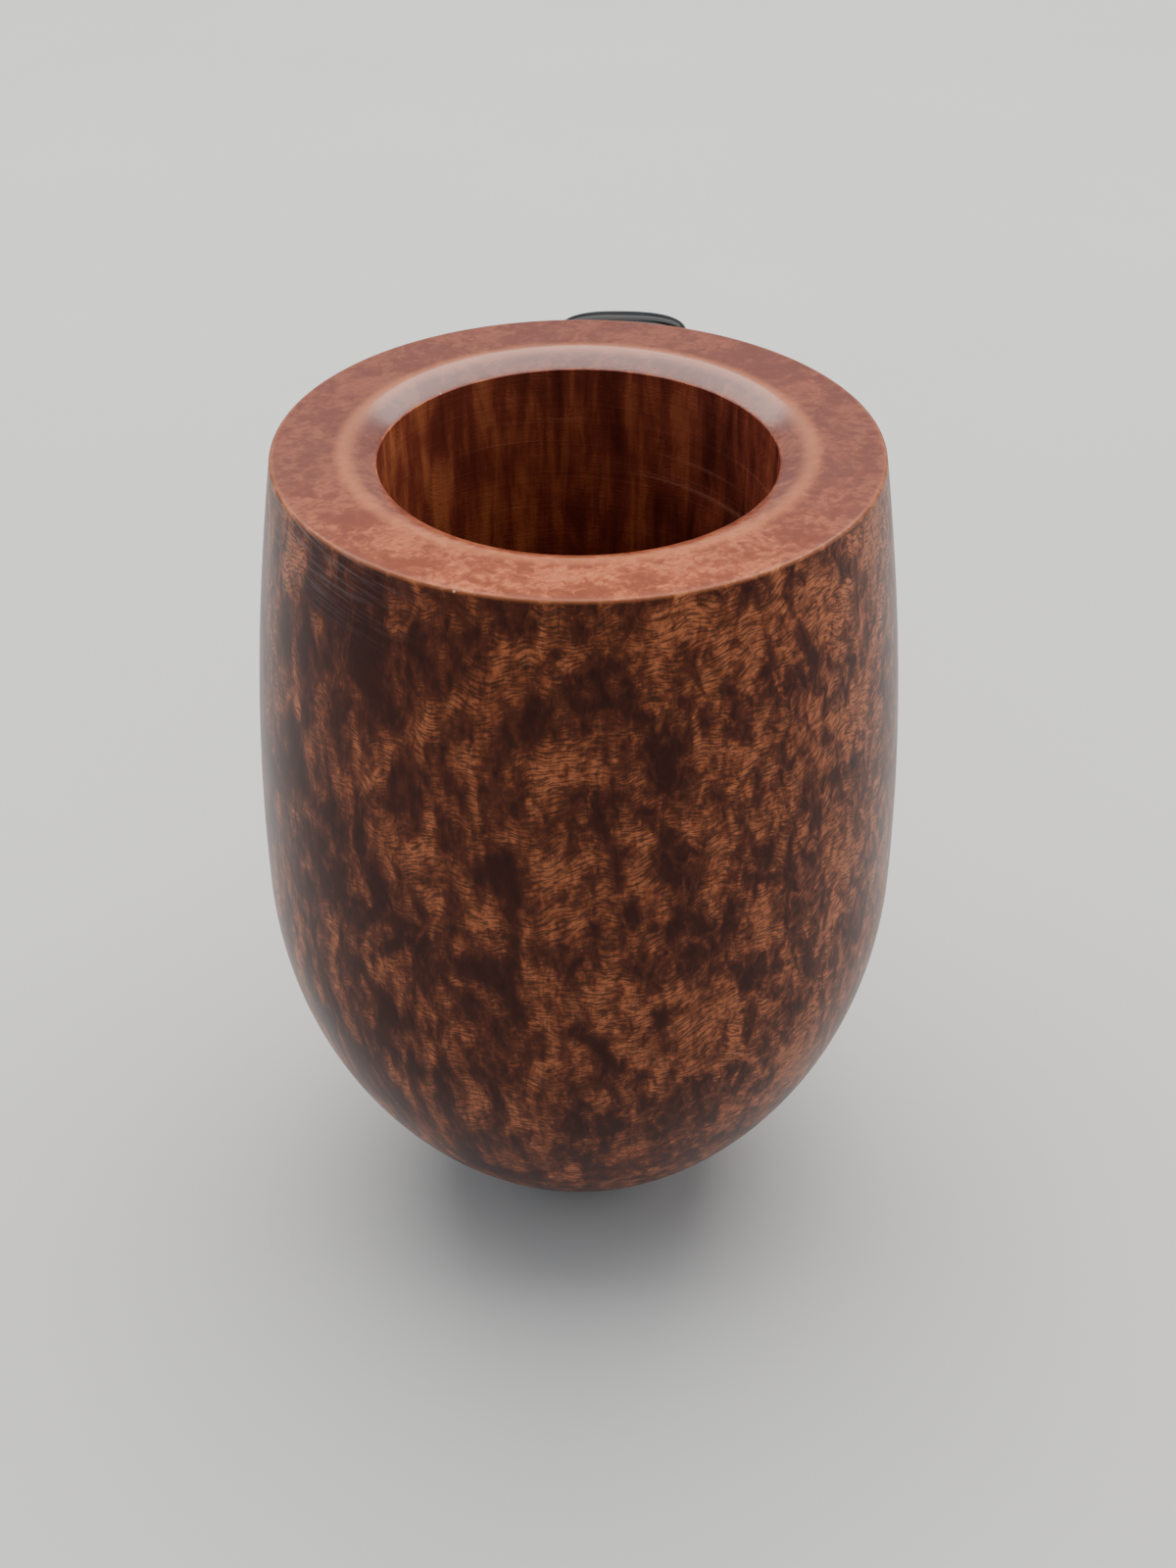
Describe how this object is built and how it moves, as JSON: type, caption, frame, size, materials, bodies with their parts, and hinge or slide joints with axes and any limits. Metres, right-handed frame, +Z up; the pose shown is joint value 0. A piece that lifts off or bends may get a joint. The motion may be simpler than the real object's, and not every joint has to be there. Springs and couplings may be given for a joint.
{
  "type": "tobacco pipe",
  "caption": "Straight briar smoking pipe with an upright bowl, a drilled chamber and a push-fit mouthpiece that holds a filter.",
  "frame": {"origin": "centre of the bowl's flat foot, on the surface that the pipe stands on", "axes": "+Z up along the tobacco chamber, +Y back along the shank towards the mouthpiece"},
  "size_m": [0.0364, 0.1399, 0.0495],
  "materials": {
    "briar": "stained and waxed to a soft gloss",
    "mouthpiece_black": "polished",
    "tenon_white": "satin",
    "filter_paper": "matt paper",
    "filter_ceramic": "matt unglazed ceramic",
    "charcoal": "matt granules"
  },
  "bodies": {
    "bowl": {"bowl": "briar"},
    "filter": {"filter_sleeve": "filter_paper", "filter_front_cap": "filter_ceramic", "filter_back_cap": "filter_ceramic", "filter_charcoal": "charcoal"},
    "mouthpiece": {"mouthpiece": "mouthpiece_black", "tenon": "tenon_white"}
  },
  "joints": [
    {"name": "mouthpiece_twist", "type": "hinge", "parent": "bowl", "child": "filter", "pos_m": [0, 0.05483, 0.00797], "axis": [0, 0.9969, -0.0787], "continuous": true},
    {"name": "mouthpiece_pull", "type": "slide", "parent": "filter", "child": "mouthpiece", "axis": [0, 0.9969, -0.0787], "range_m": [0, 0.045]}
  ]
}
